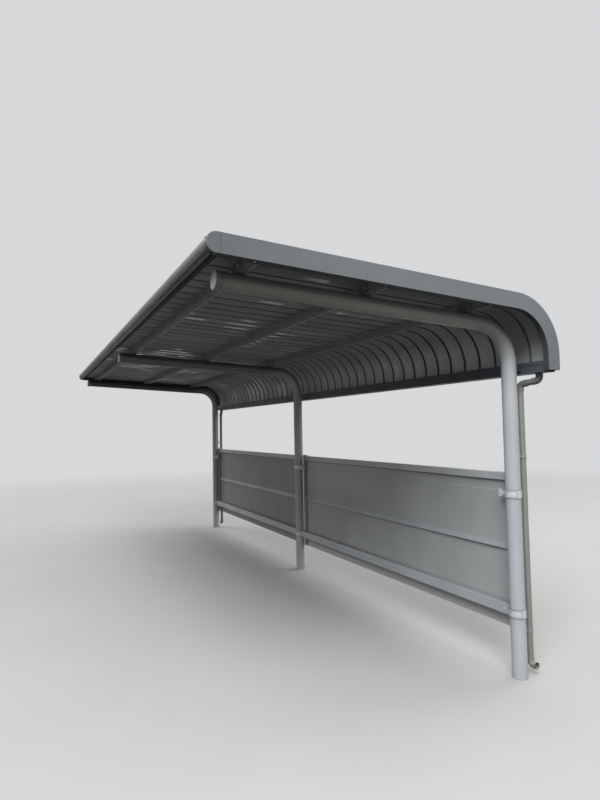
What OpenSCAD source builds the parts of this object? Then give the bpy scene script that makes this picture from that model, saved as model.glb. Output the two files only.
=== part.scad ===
// Two-bay cycle shelter: three bent pipe frames carry C purlins and a ribbed sheet roof
// that curves down at the back into a gutter. Low screen panels close the back between posts.
// X runs along the shelter, -Y is the open front, +Y the panelled back, Z is up.
// The origin is on the ground at the axis of the middle post. Millimetres.

/* [Overall] */
// Distance between the axes of two neighbouring frames
bay_l = 2900; // [1800:50:3600]
// End frame axis to the outer face of the gable trim
overhang = 215; // [160:5:400]
// Height of the arm axis above the ground, measured at the post axis
arm_h = 2070; // [1800:10:2600]
// Post axis to the tip of the arm, along the arm
arm_reach = 1843; // [1200:1:2400]
// Rise of the roof towards the open front, in degrees
roof_pitch = 3.1; // [1:0.1:8]

/* [Bent frames] */
// Outside diameter of the frame pipe
pipe_d = 89.1; // [60.5:0.1:114.3]
// Radius of the bend, to the pipe axis
bend_r = 240; // [180:5:320]
// Wall of the plastic cap on the arm tip
cap_wall = 1.6; // [1:0.1:6]
// Length of the collar of the cap
cap_collar = 28; // [10:1:60]
// Thickness of the end of the cap
cap_end = 7; // [3:0.5:15]

/* [Purlins] */
// Width of the C purlin
purlin_w = 45; // [35:1:75]
// Height of the C purlin
purlin_h = 48; // [42:1:75]
// Depth of the purlin lips
purlin_lip = 14; // [8:1:20]
// Wall of the purlin
purlin_t = 3; // [1.6:0.1:4]
// Post axis to the middle of the rear purlin, along the arm
purlin_rear = 327; // [300:1:500]
// Arm tip to the middle of the front purlin, along the arm
purlin_in = 124; // [80:1:300]
// Length of the cleat that holds a purlin on an arm
cleat_l = 150; // [100:5:240]
// Thickness of the cleat
cleat_t = 3.2; // [2:0.1:6]

/* [Roof sheets] */
// Radius of the rear curve, to the underside of the sheet
roof_r = 285; // [220:5:400]
// Post axis to the inner face of the sheet where it hangs down
roof_back = 131; // [110:1:200]
// Thickness of the sheet
sheet_t = 2; // [1:0.1:3]
// Spacing of the ribs
rib_pitch = 139.4; // [80:0.2:200]
// Height of the ribs above the pans
rib_h = 16; // [8:1:20]
// Width of the open foot of a rib, seen from below
rib_foot = 15; // [8:0.5:24]
// Width of the open top of a rib
rib_top = 9; // [4:0.5:20]
// Right end of the roof to the first rib
rib_margin = 160.5; // [30:0.5:200]

/* [Edge trims] */
// Height of the gable trim and of the rounded nose of the front edge
trim_h = 92; // [84:1:130]
// Bottom edge of the trim below the underside of the sheet
trim_below = 41; // [34:1:60]
// Depth of the flanges of the gable trim
trim_flange = 37; // [20:1:60]
// Wall of the trims
trim_t = 2.5; // [1.5:0.1:4]
// Arm tip to the middle of the rounded nose, along the slope
nose_out = 61; // [50:1:200]
// Depth of the top flange behind the nose of the front edge
fascia_flange = 32; // [15:1:60]
// Depth of the shelf behind the nose, under the ends of the sheets
shelf_d = 47; // [15:1:60]
// Angle from the front of the nose down to its groove
groove_turn = 58; // [40:1:65]
// Angle from the front of the nose down to its lip
lip_turn = 75; // [68:1:88]
// Depth of the hem of that lip
lip_hem = 8; // [4:0.5:15]

/* [Gutter and downpipes] */
// Post axis to the front face of the gutter
gutter_y = 90; // [75:1:110]
// Width of the gutter
gutter_w = 92; // [80:1:130]
// Depth of the gutter
gutter_h = 66; // [50:1:100]
// Height of the rolled lip on the front of the gutter
gutter_lip_h = 20; // [10:1:30]
// Wall of the gutter
gutter_t = 2.5; // [1.5:0.1:4]
// Gutter bottom below the centre of the rear roof curve
gutter_drop = 102; // [90:1:150]
// Outside diameter of the downpipe
downpipe_d = 38; // [30:1:60]
// Wall of the downpipe
downpipe_t = 2.5; // [1.5:0.1:4]
// Outlet of the gutter beyond the axis of the end post
outlet_x = 106; // [60:1:140]
// Height of the axis of the open mouth of the shoe
shoe_z = 60; // [40:5:200]
// Post surface to the downpipe
downpipe_gap = 27; // [8:1:40]
// Fall of the run between the two elbows
run_fall = 20; // [8:1:60]
// Radius of the inside of the elbows
elbow_throat = 3.5; // [2:0.5:20]
// Length of the sockets of the elbows
socket_l = 22; // [12:1:24]
// Height of the ring clips
clip_h = 20; // [14:1:40]

/* [Back panels] */
// Height of the top of the panels
panel_top = 1188; // [900:1:1500]
// Height of the bottom of the panels
panel_bottom = 252; // [120:1:320]
// Height of the top rail
top_rail_h = 47; // [30:1:80]
// Height of the middle of the mid rail
mid_rail_z = 738; // [600:1:850]
// Height of the mid rail itself
mid_rail_h = 36; // [20:1:60]
// Edge of the mid rail left upright above and below its sloping face
rail_edge = 4; // [2:0.5:8]
// Width of the stile at each end of a panel
stile_w = 48; // [30:1:80]
// Stile top above the top rail
stile_rise = 10; // [0:1:40]
// Depth of stiles and rails
stile_d = 30; // [20:1:50]
// Rail face to sheet face
sheet_recess = 14; // [6:1:20]
// Thickness of the panel sheet
panel_t = 3; // [1:0.5:6]
// Top rail to the fold of the upper sheet
fold_drop = 67; // [20:1:200]
// Depth of that fold
fold_in = 3; // [1:0.5:6]
// Post axis to the end of the panel
panel_end = 32; // [26:1:44]
// Band clamp to the front face of the stiles, square to the panel at their edge
panel_gap = 0.4; // [0.3:0.1:20]

/* [Girt and clamps] */
// Height of the middle of the girt
girt_z = 372; // [330:1:480]
// Height of the girt itself
girt_h = 70; // [40:1:100]
// Outside radius of the corners of the girt
girt_r = 6; // [4:0.5:12]
// Band clamp to the end of the girt
girt_end = 12; // [2:1:20]
// Top of the panels to the middle of the upper band clamp
clamp_drop = 119; // [60:1:300]
// Height of the band
clamp_h = 50; // [30:1:70]
// Thickness of the band
clamp_t = 3.2; // [1.5:0.1:4]
// Length of the ear of a clamp beyond the band
ear_l = 60; // [48:1:80]
// Width of the plate at the end of an upper ear
plate_w = 26; // [15:1:40]
// Inner edge of the stile to the leg that carries the upper ear
leg_in = 1; // [0.5:0.5:10]

/* [Hidden] */
$fn = 96;

// Clearance between round faces that fit over each other
fit_gap = 0.3;
// Clearance between neighbouring roof sheets
lap_gap = 0.4;
// A straight stretch enters a bend by this length
join_in = 1;
// and is slimmer by this step on every face, so that no two faces coincide there
join_step = 0.05;
pipe_r = pipe_d / 2;
cap_r = pipe_r + fit_gap + cap_wall;
band_r = pipe_r + fit_gap + clamp_t;

// Heights on the slope, measured square to the arm axis
purlin_base = pipe_r + fit_gap + cleat_t;
sheet_base = purlin_base + purlin_h;
trim_base = sheet_base - trim_below;
nose_r = trim_h / 2;
nose_z = trim_base + nose_r;

// Spacing of the three purlins along the arm
purlin_pitch = (arm_reach - purlin_in - purlin_rear) / 2;
// Post axis to the middle of the rounded nose, along the slope
nose_y = arm_reach + nose_out;

// Centre of the rear curve of the roof
curve_y = roof_back - roof_r;
curve_z = arm_h + (sheet_base - roof_r - sin(roof_pitch) * curve_y) / cos(roof_pitch);
// The same centre measured along the slope
curve_along = (curve_y - sin(roof_pitch) * (sheet_base - roof_r)) / cos(roof_pitch);

gutter_z = curve_z - gutter_drop;
gutter_top = gutter_z + gutter_h;
// Sheets end just above the gutter, the trim a little above its bottom
sheet_drop = curve_z - gutter_top - 2;
trim_drop = gutter_drop - 8;

roof_end = bay_l + overhang;
roof_half = roof_end - trim_t - 2;
gutter_half = roof_end - trim_flange;

sheet_count = 5;
// As many ribs as the length takes, shared out over the sheets
rib_count = floor((2 * roof_half - rib_margin - rib_foot - sheet_t) / rib_pitch) + 1;
ribs_per_sheet = ceil(rib_count / sheet_count);

panel_y = sqrt(max(0, band_r * band_r - panel_end * panel_end)) + panel_gap;
girt_front = -6;
clamp_z = panel_top - clamp_drop;
downpipe_y = pipe_r + downpipe_gap + downpipe_d / 2;
gutter_mid = gutter_y + gutter_w / 2;
// Stub under the gutter that enters the first elbow
stub_l = socket_l - 4;
bore_r = downpipe_d / 2 - downpipe_t;
elbow_d = downpipe_d + 3;
elbow_r = elbow_d / 2 + elbow_throat;
socket_d = elbow_d + 1.4;
clip_z = [1277, 246];

// Run from the outlet to the upright behind the post: plan length, plan turn and fall angle
run_l = norm([outlet_x, gutter_mid - downpipe_y]);
run_turn = atan2(downpipe_y - gutter_mid, -outlet_x);
fall_turn = atan2(run_fall, run_l);
elbow_turn = 90 - fall_turn;
elbow_leg = elbow_r * tan(elbow_turn / 2);
upper_corner = gutter_z - elbow_leg - socket_l - fit_gap;
lower_corner = upper_corner - run_fall;

// Flat lug behind each post that carries the gutter: width, thickness and height of its
// underside above the gutter bottom
lug_w = 30;
lug_t = 6;
lug_rise = 16;

colour_frame = "#a9afb5";
colour_purlin = "#6e7377";
colour_sheet = "#5a5d60";
colour_trim = "#757b82";
colour_edge = "#a4a9ad";
colour_gutter = "#4b5055";
colour_pipe = "#96918a";
colour_panel = "#767a7e";
colour_rail = "#84888c";
colour_cap = "#a0a2a4";

// X of a frame, from its side: 1 right, 0 middle, -1 left
function frame_x(side) = side * bay_l;
// X of rib number i, counted from the right end
function rib_x(i) = roof_half - rib_margin - i * rib_pitch;

// Places children in the frame of the slope: origin on the arm axis above the post
module on_slope() {
    translate([0, 0, arm_h]) rotate([-roof_pitch, 0, 0]) children();
}

// Extrudes a profile drawn in (Y, Z) from x0 to x1
module along_x(x0, x1) {
    translate([x0, 0, 0]) rotate([90, 0, 90]) linear_extrude(x1 - x0) children();
}

// Extrudes a profile drawn in (Z, X) along +Y
module along_y(length) {
    rotate([0, -90, -90]) linear_extrude(length) children();
}

// Turns a profile drawn in (radius, X) about the X axis, from the angle a0 above +Y
module turn_x(a0, sweep) {
    rotate([0, 90, 0]) rotate([0, 0, 90 + a0]) rotate_extrude(angle = sweep) children();
}

// Carries a profile drawn in (radius, X) down the slope, round the rear curve and down.
// The first child is the profile, the second the same profile slimmer by join_step.
module roof_sweep(front, drop) {
    translate([0, curve_y, curve_z]) {
        rotate([-roof_pitch, 0, 0]) translate([0, -front, 0])
            along_y(front + join_in) children(1);
        turn_x(0, 90 - roof_pitch) children(0);
        rotate([180, 0, 90]) linear_extrude(drop) children(0);
    }
}

// Bent pipe: post, bend and cantilevered arm, with a lug for the gutter
module frame(side) {
    turn = 90 - roof_pitch;
    setback = bend_r * tan(turn / 2);
    translate([frame_x(side), 0, 0]) color(colour_frame) union() {
        cylinder(h = arm_h - setback, d = pipe_d);
        translate([0, -bend_r, arm_h - setback])
            turn_x(0, turn) translate([bend_r, 0]) circle(d = pipe_d);
        on_slope() translate([0, -setback + join_in, 0]) rotate([90, 0, 0])
            cylinder(h = arm_reach - setback + join_in, r = pipe_r - join_step);
        translate([-lug_w / 2, pipe_r - lug_w / 4, gutter_z + lug_rise])
            cube([lug_w, gutter_y - pipe_r + lug_w / 4, lug_t]);
    }
}

// Cap pushed over the arm tip: collar and slightly crowned end
module arm_cap(side) {
    translate([frame_x(side), 0, 0]) color(colour_cap) on_slope()
        translate([0, -arm_reach, 0]) rotate([90, 0, 0])
            rotate_extrude()
                polygon([
                    [0, fit_gap],
                    [pipe_r + fit_gap, fit_gap],
                    [pipe_r + fit_gap, -cap_collar],
                    [cap_r, -cap_collar],
                    [cap_r, cap_end - 4],
                    [cap_r - 1.2, cap_end - 1.8],
                    [cap_r - 4, cap_end - 0.6],
                    [cap_r - 14, cap_end],
                    [0, cap_end]
                ]);
}

// C purlin number i, counted from the front, over the whole length, with coped ends
module purlin(i) {
    middle = -(purlin_rear + (2 - i) * purlin_pitch);
    cope_h = purlin_h - trim_below + trim_t;
    length = roof_half;
    color(colour_purlin) on_slope() difference() {
        along_x(-length, length) translate([middle - purlin_w / 2, purlin_base])
            polygon([
                [0, 0],
                [purlin_w, 0],
                [purlin_w, purlin_lip],
                [purlin_w - purlin_t, purlin_lip],
                [purlin_w - purlin_t, purlin_t],
                [purlin_t, purlin_t],
                [purlin_t, purlin_h - purlin_t],
                [purlin_w - purlin_t, purlin_h - purlin_t],
                [purlin_w - purlin_t, purlin_h - purlin_lip],
                [purlin_w, purlin_h - purlin_lip],
                [purlin_w, purlin_h],
                [0, purlin_h]
            ]);
        for (end = [-1, 1])
            translate([end * (length + 10), middle, purlin_base + cope_h / 2 - 5])
                cube([2 * (trim_flange + 10), purlin_w + 10, cope_h + 10], center = true);
    }
}

// Angle cleats that hold the three purlins on one arm
module purlin_cleats(side) {
    translate([frame_x(side), 0, 0]) color(colour_purlin) on_slope()
        for (i = [0:2])
            translate([0, -(purlin_rear + i * purlin_pitch) - purlin_w / 2, pipe_r + fit_gap])
                along_x(-cleat_l / 2, cleat_l / 2)
                    polygon([
                        [-cleat_t, 0],
                        [purlin_w, 0],
                        [purlin_w, cleat_t],
                        [0, cleat_t],
                        [0, purlin_h * 0.85],
                        [-cleat_t, purlin_h * 0.85]
                    ]);
}

// Outline of a stretch of ribbed sheet, in (radius, X): under face first, then the top face
// drawn slimmer by inset on every face
function sheet_outline(x0, x1, ribs, inset) = let (
    low = roof_r + inset,
    high = roof_r + sheet_t - inset,
    foot = rib_foot / 2 + inset,
    top = rib_top / 2 + inset,
    wall = sheet_t - 2 * inset
) concat(
    [[low, x0 + inset]],
    [for (x = ribs) each [
        [low, x - foot], [low + rib_h, x - top], [low + rib_h, x + top], [low, x + foot]
    ]],
    [[low, x1 - inset], [high, x1 - inset]],
    [for (i = [len(ribs) - 1:-1:0]) each let (x = ribs[i]) [
        [high, x + foot + wall], [high + rib_h, x + top + wall],
        [high + rib_h, x - top - wall], [high, x - foot - wall]
    ]],
    [[high, x0 + inset]]
);

// Roof sheet number k, counted from the right: flat over the purlins, then curved down
module roof_sheet(k) {
    first = k * ribs_per_sheet;
    last = min(first + ribs_per_sheet, rib_count) - 1;
    ribs = [for (i = [last:-1:first]) rib_x(i)];
    rib_half = rib_foot / 2 + sheet_t;
    x1 = k == 0 ? roof_half : rib_x(first - 1) - rib_half - lap_gap;
    x0 = k == sheet_count - 1 ? -roof_half : ribs[0] - rib_half;
    color(colour_sheet) roof_sweep(nose_y + curve_along + nose_r / 2, sheet_drop) {
        polygon(sheet_outline(x0, x1, ribs, 0));
        polygon(sheet_outline(x0, x1, ribs, join_step));
    }
}

// Part of a ring between two angles, in 2D
module ring_part(r, wall, a0, a1) {
    intersection() {
        difference() {
            circle(r = r);
            circle(r = r - wall);
        }
        polygon([
            [0, 0],
            2 * r * [cos(a0), sin(a0)],
            2 * r * [cos((2 * a0 + a1) / 3), sin((2 * a0 + a1) / 3)],
            2 * r * [cos((a0 + 2 * a1) / 3), sin((a0 + 2 * a1) / 3)],
            2 * r * [cos(a1), sin(a1)]
        ]);
    }
}

// Rounded front edge: nose with a groove and a hemmed lip below, a top flange and the shelf
// under the sheets. It butts against the flanges of the gable trims.
module front_edge(side) {
    reach = roof_end - trim_flange - fit_gap;
    inner_r = nose_r - trim_t;
    shelf_in = inner_r + trim_t / 3;
    step = trim_t / 2;
    color(colour_edge) on_slope()
        along_x(side > 0 ? lap_gap / 2 : -reach, side > 0 ? reach : -lap_gap / 2)
            translate([-nose_y, nose_z]) union() {
                ring_part(nose_r, trim_t, 90, 180 + groove_turn);
                ring_part(nose_r - step, trim_t, 178 + groove_turn, 180 + lip_turn);
                rotate(180 + lip_turn - 2) translate([nose_r - step - lip_hem, 0])
                    square([lip_hem - step / 2, trim_t]);
                translate([0, inner_r]) square([fascia_flange, trim_t]);
                translate([-shelf_in, sheet_base - nose_z - trim_t])
                    square([shelf_in + shelf_d, trim_t]);
            }
}

// Section of the gable trim in (radius, X): a channel open towards the sheets,
// drawn slimmer by inset on every face
function trim_section(inset) = let (
    low = roof_r - trim_below + inset,
    high = roof_r - trim_below + trim_h - inset,
    wall = trim_t - 2 * inset,
    end = inset - trim_flange
) [
    [low, -inset], [high, -inset], [high, end], [high - wall, end],
    [high - wall, -inset - wall], [low + wall, -inset - wall], [low + wall, end], [low, end]
];

// Half of that channel, from the middle of the face out, for the round nose
function nose_section() = [
    [0, 0], [nose_r, 0], [nose_r, -trim_flange], [nose_r - trim_t, -trim_flange],
    [nose_r - trim_t, -trim_t], [0, -trim_t]
];

// Gable trim of the right end: follows the roof from the round nose to the gutter
module gable_trim() {
    color(colour_trim) translate([roof_end, 0, 0]) union() {
        roof_sweep(nose_y + curve_along + join_in, trim_drop) {
            polygon(trim_section(0));
            polygon(trim_section(join_step));
        }
        on_slope() translate([0, -nose_y, nose_z]) turn_x(90, 180) polygon(nose_section());
    }
}

// Box gutter with a rolled lip along its front face and an outlet at each end
module gutter() {
    length = gutter_half - gutter_t;
    color(colour_gutter) difference() {
        union() {
            along_x(-length, length) translate([gutter_y, gutter_z])
                polygon([
                    [0, 0],
                    [gutter_w, 0],
                    [gutter_w, gutter_h],
                    [gutter_w - gutter_t, gutter_h],
                    [gutter_w - gutter_t, gutter_t],
                    [gutter_t, gutter_t],
                    [gutter_t, gutter_h],
                    [-gutter_t, gutter_h],
                    [-gutter_t, gutter_h - gutter_lip_h],
                    [0, gutter_h - gutter_lip_h]
                ]);
            for (side = [-1, 1]) translate([side * (bay_l + outlet_x), gutter_mid, gutter_z - stub_l])
                cylinder(h = stub_l + gutter_t / 2, d = downpipe_d);
        }
        for (side = [-1, 1])
            translate([side * (bay_l + outlet_x), gutter_mid, gutter_z - stub_l - 1])
                cylinder(h = stub_l + gutter_t + 2, r = bore_r);
    }
}

// Flat cap that closes one end of the gutter
module gutter_cap(side) {
    color(colour_gutter)
        translate([side > 0 ? gutter_half - gutter_t : -gutter_half, gutter_y - gutter_t, gutter_z])
            cube([gutter_t, gutter_w + gutter_t, gutter_h]);
}

// Bend of an elbow: from the leg straight up it turns towards +X by the angle turn
module elbow_bend(turn, leg, r) {
    translate([elbow_r, 0, leg]) rotate([90, 0, 0]) rotate([0, 0, 180])
        rotate_extrude(angle = turn) translate([elbow_r, 0]) circle(r = r);
}

// Elbow with a socket on each leg. The axes of its legs meet at the origin.
module elbow(turn) {
    $fn = 48;
    leg = elbow_r * tan(turn / 2);
    difference() {
        union() {
            elbow_bend(turn, leg, elbow_d / 2);
            for (tilt = [0, 180 - turn]) rotate([0, tilt, 0])
                translate([0, 0, leg - join_in]) cylinder(h = socket_l + join_in, d = socket_d);
        }
        elbow_bend(turn, leg, bore_r);
        for (tilt = [0, 180 - turn]) rotate([0, tilt, 0])
            translate([0, 0, leg - join_in / 2])
                cylinder(h = socket_l + join_in, r = downpipe_d / 2 + fit_gap);
    }
}

// Elbows of the right end: under the outlet, behind the post, and the open shoe at the foot
module drain_elbows() {
    color(colour_pipe) {
        translate([bay_l + outlet_x, gutter_mid, upper_corner]) rotate([0, 0, run_turn])
            elbow(elbow_turn);
        translate([bay_l, downpipe_y, lower_corner]) rotate([0, 0, run_turn]) rotate([0, 180, 0])
            elbow(elbow_turn);
        translate([bay_l, downpipe_y, shoe_z]) elbow(90);
    }
}

// Tube of the downpipe along +Z
module pipe_tube(length) {
    difference() {
        cylinder(h = length, d = downpipe_d);
        translate([0, 0, -1]) cylinder(h = length + 2, r = bore_r);
    }
}

// Pipes of the right end: the sloping run and the upright behind the post
module downpipe() {
    color(colour_pipe) {
        translate([bay_l + outlet_x, gutter_mid, upper_corner]) rotate([0, 90 + fall_turn, run_turn])
            translate([0, 0, elbow_leg]) pipe_tube(run_l / cos(fall_turn) - 2 * elbow_leg);
        translate([bay_l, downpipe_y, shoe_z + elbow_r])
            pipe_tube(lower_corner - elbow_leg - shoe_z - elbow_r);
    }
}

// Two ring clips that hold a downpipe behind its post
module pipe_clips(side) {
    translate([side * bay_l, 0, 0]) color(colour_pipe)
        for (z = clip_z) translate([0, 0, z]) difference() {
            union() {
                translate([0, downpipe_y, 0]) cylinder(h = clip_h, r = downpipe_d / 2 + fit_gap + 2.4);
                translate([-9, pipe_r - 4, clip_h / 6])
                    cube([18, downpipe_gap + 8, clip_h * 2 / 3]);
            }
            translate([0, downpipe_y, -1]) cylinder(h = clip_h + 2, r = downpipe_d / 2 + fit_gap);
            translate([0, 0, -1]) cylinder(h = clip_h + 2, r = pipe_r + fit_gap);
        }
}

// Places children in a bay: X from the frame on its left, side 1 right and -1 left
module in_bay(side) {
    translate([side > 0 ? 0 : -bay_l, 0, 0]) children();
}

// Top rail of the back panel of one bay, with a bevelled top edge
module top_rail(side) {
    inner = panel_end + stile_w;
    low = panel_top - top_rail_h;
    back = panel_y + stile_d;
    color(colour_rail) in_bay(side) along_x(inner, bay_l - inner)
        polygon([
            [back, low],
            [panel_y, low],
            [panel_y, panel_top - rail_edge],
            [panel_y + rail_edge, panel_top],
            [back, panel_top]
        ]);
}

// Mid rail of the back panel of one bay: its face slopes out to a sharp lower edge
module mid_rail(side) {
    inner = panel_end + stile_w;
    low = mid_rail_z - mid_rail_h / 2;
    high = mid_rail_z + mid_rail_h / 2;
    back = panel_y + stile_d;
    crest = panel_y + sheet_recess - 3;
    color(colour_rail) in_bay(side) along_x(inner, bay_l - inner)
        polygon([
            [back, low],
            [panel_y, low],
            [panel_y, low + rail_edge],
            [crest, high - rail_edge],
            [crest, high],
            [back, high]
        ]);
}

// Upper sheet of one bay, set back above its fold
module upper_sheet(side) {
    inner = panel_end + stile_w;
    low = mid_rail_z + mid_rail_h / 2;
    high = panel_top - top_rail_h;
    fold = high - fold_drop;
    front = panel_y + sheet_recess;
    color(colour_panel) in_bay(side) along_x(inner, bay_l - inner)
        polygon([
            [front, low],
            [front, fold - 1],
            [front + fold_in, fold + 1],
            [front + fold_in, high],
            [front + fold_in + panel_t, high],
            [front + fold_in + panel_t, fold],
            [front + panel_t, fold - 2],
            [front + panel_t, low]
        ]);
}

// Lower sheet of one bay, down to the bottom of the panel
module lower_sheet(side) {
    inner = panel_end + stile_w;
    color(colour_panel) in_bay(side)
        translate([inner, panel_y + sheet_recess, panel_bottom])
            cube([bay_l - 2 * inner, panel_t, mid_rail_z - mid_rail_h / 2 - panel_bottom]);
}

// The two upright stiles of the back panel of one bay
module panel_stiles(side) {
    color(colour_rail) in_bay(side)
        for (x = [panel_end, bay_l - panel_end - stile_w])
            translate([x, panel_y, panel_bottom])
                cube([stile_w, stile_d, panel_top + stile_rise - panel_bottom]);
}

// Rectangle in 2D with the two corners at x = 0 rounded
module half_round_box(width, height, r) {
    translate([r, 0]) square([width - r, height]);
    translate([0, r]) square([r + 1, height - 2 * r]);
    for (y = [r, height - r]) translate([r, y]) circle(r = r);
}

// Channel girt across one bay, open towards the panel
module girt(side) {
    x0 = band_r + girt_end;
    wall = purlin_t;
    depth = panel_y - girt_front;
    color(colour_edge) in_bay(side) along_x(x0, bay_l - x0)
        translate([girt_front, girt_z - girt_h / 2]) difference() {
            half_round_box(depth, girt_h, girt_r);
            translate([wall, wall]) half_round_box(depth, girt_h - 2 * wall, girt_r - wall);
        }
}

// Raised field on a band, from the angle a0 on
module band_field(a0, sweep, height, proud) {
    rotate([0, 0, a0]) rotate_extrude(angle = sweep)
        translate([band_r - clamp_t / 2, -height / 2])
            square([clamp_t / 2 + proud, height]);
}

// Band round a post with a pressed field and a bead in it
module band() {
    difference() {
        union() {
            cylinder(h = clamp_h, r = band_r, center = true);
            band_field(-100, 80, clamp_h - 14, 1.2);
            band_field(-59, 28, clamp_h / 5, 2.6);
        }
        cylinder(h = clamp_h + 2, r = pipe_r + fit_gap, center = true);
    }
}

// Ear of the lower clamp, behind the web of the girt
module lower_ear() {
    translate([band_r - clamp_t / 2, girt_front + purlin_t, -clamp_h * 0.4])
        cube([clamp_t / 2 + ear_l, clamp_t, clamp_h * 0.8]);
}

// Ear of the upper clamp: neck, end plate and the leg that stands on the stile
module upper_ear() {
    ear_y = girt_front + purlin_t;
    ear_end = band_r + ear_l;
    neck_h = clamp_h * 0.44;
    leg_x = panel_end + stile_w - leg_in;
    translate([band_r - clamp_t / 2, ear_y, -neck_h / 2])
        cube([clamp_t / 2 + ear_l - 1, clamp_t, neck_h]);
    translate([ear_end - plate_w, girt_front, -clamp_h * 0.45])
        cube([plate_w, purlin_t + clamp_t / 2, clamp_h * 0.9]);
    translate([leg_x - clamp_t, ear_y, -neck_h / 2])
        cube([clamp_t, panel_y - ear_y, neck_h]);
}

// Upper and lower band clamp of one post
module band_clamps(side) {
    ears = side > 0 ? [-1] : side < 0 ? [1] : [-1, 1];
    translate([frame_x(side), 0, 0]) color(colour_frame) {
        translate([0, 0, clamp_z]) union() {
            band();
            for (e = ears) mirror([e < 0 ? 1 : 0, 0, 0]) upper_ear();
        }
        translate([0, 0, girt_z]) union() {
            band();
            for (e = ears) mirror([e < 0 ? 1 : 0, 0, 0]) lower_ear();
        }
    }
}

frame(1);  // frame_right
frame(0);  // frame_middle
frame(-1);  // frame_left
arm_cap(1);  // arm_cap_right
arm_cap(0);  // arm_cap_middle
arm_cap(-1);  // arm_cap_left
purlin(0);  // purlin_front
purlin(1);  // purlin_middle
purlin(2);  // purlin_rear
purlin_cleats(1);  // purlin_cleats_right
purlin_cleats(0);  // purlin_cleats_middle
purlin_cleats(-1);  // purlin_cleats_left
roof_sheet(0);  // roof_sheet_1
roof_sheet(1);  // roof_sheet_2
roof_sheet(2);  // roof_sheet_3
roof_sheet(3);  // roof_sheet_4
roof_sheet(4);  // roof_sheet_5
front_edge(1);  // front_edge_right
front_edge(-1);  // front_edge_left
gable_trim();  // gable_trim_right
mirror([1, 0, 0]) gable_trim();  // gable_trim_left
gutter();
gutter_cap(1);  // gutter_cap_right
gutter_cap(-1);  // gutter_cap_left
drain_elbows();  // drain_elbows_right
mirror([1, 0, 0]) drain_elbows();  // drain_elbows_left
downpipe();  // downpipe_right
mirror([1, 0, 0]) downpipe();  // downpipe_left
pipe_clips(1);  // pipe_clips_right
pipe_clips(-1);  // pipe_clips_left
top_rail(1);  // top_rail_right
top_rail(-1);  // top_rail_left
mid_rail(1);  // mid_rail_right
mid_rail(-1);  // mid_rail_left
upper_sheet(1);  // upper_sheet_right
upper_sheet(-1);  // upper_sheet_left
lower_sheet(1);  // lower_sheet_right
lower_sheet(-1);  // lower_sheet_left
panel_stiles(1);  // panel_stiles_right
panel_stiles(-1);  // panel_stiles_left
girt(1);  // girt_right
girt(-1);  // girt_left
band_clamps(1);  // band_clamps_right
band_clamps(0);  // band_clamps_middle
band_clamps(-1);  // band_clamps_left
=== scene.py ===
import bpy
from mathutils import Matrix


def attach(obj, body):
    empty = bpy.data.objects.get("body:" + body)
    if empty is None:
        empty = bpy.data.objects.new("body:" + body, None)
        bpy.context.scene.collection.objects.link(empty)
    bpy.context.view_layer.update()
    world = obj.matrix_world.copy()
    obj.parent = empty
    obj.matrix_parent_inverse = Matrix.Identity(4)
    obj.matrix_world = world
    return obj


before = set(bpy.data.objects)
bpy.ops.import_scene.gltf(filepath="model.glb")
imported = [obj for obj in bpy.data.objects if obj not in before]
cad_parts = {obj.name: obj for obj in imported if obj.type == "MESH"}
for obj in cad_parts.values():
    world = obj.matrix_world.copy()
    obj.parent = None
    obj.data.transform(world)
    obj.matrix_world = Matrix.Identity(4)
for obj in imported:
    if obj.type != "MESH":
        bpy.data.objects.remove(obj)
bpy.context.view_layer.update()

import math
import bmesh
import bpy
from mathutils import Matrix, Vector

# Camera at the place and angle of the photo

CAMERA_PLACE = (5.310, -2.608, 1.483)
YAW = math.radians(26.40)
RISE = math.radians(2.93)
ROLL = -0.0183
FOCAL_PIXELS = 550.9
IMAGE_HEIGHT = 800.0
SENSOR_MM = 36.0


def photo_camera():
    """Looks along YAW and RISE, and is turned by ROLL about its line of sight."""
    look = Vector((-math.cos(YAW) * math.cos(RISE), math.sin(YAW) * math.cos(RISE), math.sin(RISE)))
    side = Vector((math.sin(YAW), math.cos(YAW), 0.0))
    up = side.cross(look)
    right = side * math.cos(ROLL) + up * math.sin(ROLL)
    top = up * math.cos(ROLL) - side * math.sin(ROLL)
    data = bpy.data.cameras.new("photo_camera")
    data.sensor_fit = "AUTO"
    data.sensor_width = SENSOR_MM
    data.lens = FOCAL_PIXELS / IMAGE_HEIGHT * SENSOR_MM
    data.clip_start = 0.05
    data.clip_end = 200.0
    camera = bpy.data.objects.new("photo_camera", data)
    bpy.context.scene.collection.objects.link(camera)
    turn = Matrix((right, top, -look)).transposed().to_4x4()
    camera.matrix_world = Matrix.Translation(CAMERA_PLACE) @ turn
    return camera


bpy.context.scene.camera = photo_camera()

# Real sizes, metres

# Frames: bay between two posts, arm above the ground and along its slope, pipe
BAY = 2.900
POSTS = (BAY, 0.0, -BAY)
ARM_H = 2.070
ARM_REACH = 1.843
PITCH = math.radians(3.1)
SLOPE = Matrix.Translation((0, 0, ARM_H)) @ Matrix.Rotation(-PITCH, 4, "X")
PIPE_R = 0.04455

# Band clamps and cleats: steel plate bent round the pipe
FIT_GAP = 0.0003
PLATE_T = 0.0032
BAND_R = PIPE_R + FIT_GAP + PLATE_T
CLAMP_Z = 1.069
CLAMP_H = 0.050
EAR_L = 0.060
EAR_SCREW_IN = 0.013
EAR_X = BAND_R + EAR_L - EAR_SCREW_IN
EAR_FRONT_Y = -0.006

# Purlins: middles along the arm, width, height and wall
PURLINS = (0.327, 1.023, ARM_REACH - 0.124)
PURLIN_STEP = PURLINS[1] - PURLINS[0]
PURLIN_BASE = BAND_R
PURLIN_W = 0.045
PURLIN_H = 0.048
PURLIN_T = 0.003

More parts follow.
